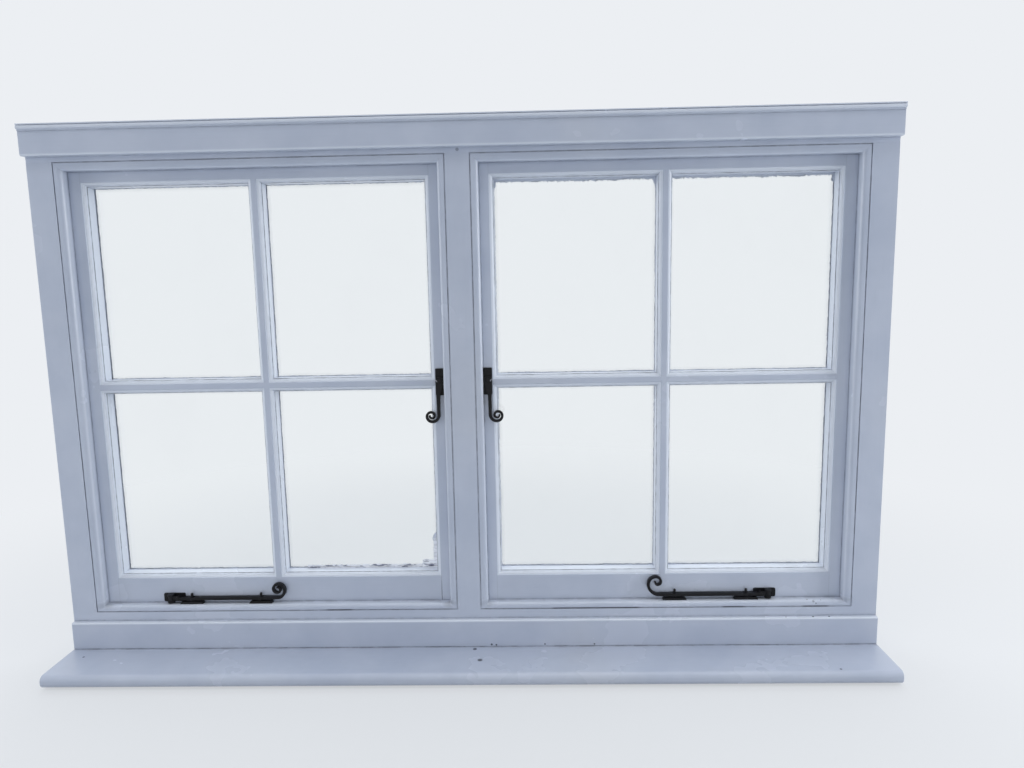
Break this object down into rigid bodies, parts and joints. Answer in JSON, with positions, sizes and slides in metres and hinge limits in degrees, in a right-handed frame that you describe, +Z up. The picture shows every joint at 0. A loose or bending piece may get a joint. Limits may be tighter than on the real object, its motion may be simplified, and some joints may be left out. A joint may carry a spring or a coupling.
{
  "type": "casement window",
  "caption": "Painted timber casement window with a mullion, outward-opening glazed casements, scrolled black iron stays and fasteners, and an inner window board.",
  "frame": {"origin": "middle of the sill's underside, in the plane of the frame's inner face", "axes": "+X to the right seen from the room, +Y outwards, +Z up"},
  "size_m": [1.65, 0.244, 1.078],
  "materials": {
    "painted_timber": "aged white oil paint, satin, with dust, fine cracks and chips at joints and edges",
    "window_glass": "clear float glass, lightly soiled at its edges",
    "painted_putty": "linseed putty under aged white paint",
    "black_iron": "hand-forged iron, painted satin black, worn at its edges",
    "hinge_steel": "steel butts painted with the frame",
    "black_screws": "black japanned steel"
  },
  "bodies": {
    "frame": {"frame_head": "painted_timber", "frame_sill": "painted_timber", "jamb_left": "painted_timber", "jamb_right": "painted_timber", "mullion": "painted_timber", "head_fascia": "painted_timber", "sill_upstand": "painted_timber", "window_board": "painted_timber", "frame_screws": "black_screws", "left_hinge_frame_leaves": "hinge_steel", "left_hinge_pins": "hinge_steel", "left_far_pin_plate": "black_iron", "left_near_pin_plate": "black_iron", "left_fastener_keep": "black_iron", "right_hinge_frame_leaves": "hinge_steel", "right_hinge_pins": "hinge_steel", "right_far_pin_plate": "black_iron", "right_near_pin_plate": "black_iron", "right_fastener_keep": "black_iron"},
    "left_casement": {"left_hinge_stile": "painted_timber", "left_lock_stile": "painted_timber", "left_top_rail": "painted_timber", "left_bottom_rail": "painted_timber", "left_upright_bar": "painted_timber", "left_cross_bar": "painted_timber", "left_pane_upper_outer": "window_glass", "left_pane_upper_inner": "window_glass", "left_pane_lower_outer": "window_glass", "left_pane_lower_inner": "window_glass", "left_putty": "painted_putty", "left_hinge_casement_leaves": "hinge_steel", "left_stay_bracket": "black_iron", "left_fastener_backplate": "black_iron", "left_fastener_pivot": "black_iron", "left_casement_screws": "black_screws"},
    "left_knuckle": {"left_stay_knuckle": "black_iron"},
    "left_stay": {"left_stay_arm": "black_iron", "left_stay_rivet": "black_iron"},
    "left_handle": {"left_fastener_handle": "black_iron"},
    "right_casement": {"right_hinge_stile": "painted_timber", "right_lock_stile": "painted_timber", "right_top_rail": "painted_timber", "right_bottom_rail": "painted_timber", "right_upright_bar": "painted_timber", "right_cross_bar": "painted_timber", "right_pane_upper_outer": "window_glass", "right_pane_upper_inner": "window_glass", "right_pane_lower_outer": "window_glass", "right_pane_lower_inner": "window_glass", "right_putty": "painted_putty", "right_hinge_casement_leaves": "hinge_steel", "right_stay_bracket": "black_iron", "right_fastener_backplate": "black_iron", "right_fastener_pivot": "black_iron", "right_casement_screws": "black_screws"},
    "right_knuckle": {"right_stay_knuckle": "black_iron"},
    "right_stay": {"right_stay_arm": "black_iron", "right_stay_rivet": "black_iron"},
    "right_handle": {"right_fastener_handle": "black_iron"}
  },
  "joints": [
    {"name": "left_casement_hinge", "type": "hinge", "parent": "frame", "child": "left_casement", "pos_m": [-0.7705, 0.071, 0.5556], "axis": [0, 0, 1], "range_deg": [0, 90]},
    {"name": "left_stay_swing", "type": "hinge", "parent": "left_casement", "child": "left_knuckle", "pos_m": [-0.624, 0.0128, 0.1275], "axis": [0, 0, -1], "range_deg": [0, 90]},
    {"name": "left_stay_lift", "type": "hinge", "parent": "left_knuckle", "child": "left_stay", "pos_m": [-0.608, 0.0128, 0.1275], "axis": [0, -1, 0], "range_deg": [0, 60]},
    {"name": "left_handle_turn", "type": "hinge", "parent": "left_casement", "child": "left_handle", "pos_m": [-0.048, 0.0153, 0.575], "axis": [0, 1, 0], "range_deg": [0, 90]},
    {"name": "right_casement_hinge", "type": "hinge", "parent": "frame", "child": "right_casement", "pos_m": [0.7705, 0.071, 0.5556], "axis": [0, 0, -1], "range_deg": [0, 90]},
    {"name": "right_stay_swing", "type": "hinge", "parent": "right_casement", "child": "right_knuckle", "pos_m": [0.611, 0.0128, 0.1275], "axis": [0, 0, 1], "range_deg": [0, 90]},
    {"name": "right_stay_lift", "type": "hinge", "parent": "right_knuckle", "child": "right_stay", "pos_m": [0.595, 0.0128, 0.1275], "axis": [0, 1, 0], "range_deg": [0, 60]},
    {"name": "right_handle_turn", "type": "hinge", "parent": "right_casement", "child": "right_handle", "pos_m": [0.048, 0.0153, 0.575], "axis": [0, -1, 0], "range_deg": [0, 90]}
  ]
}
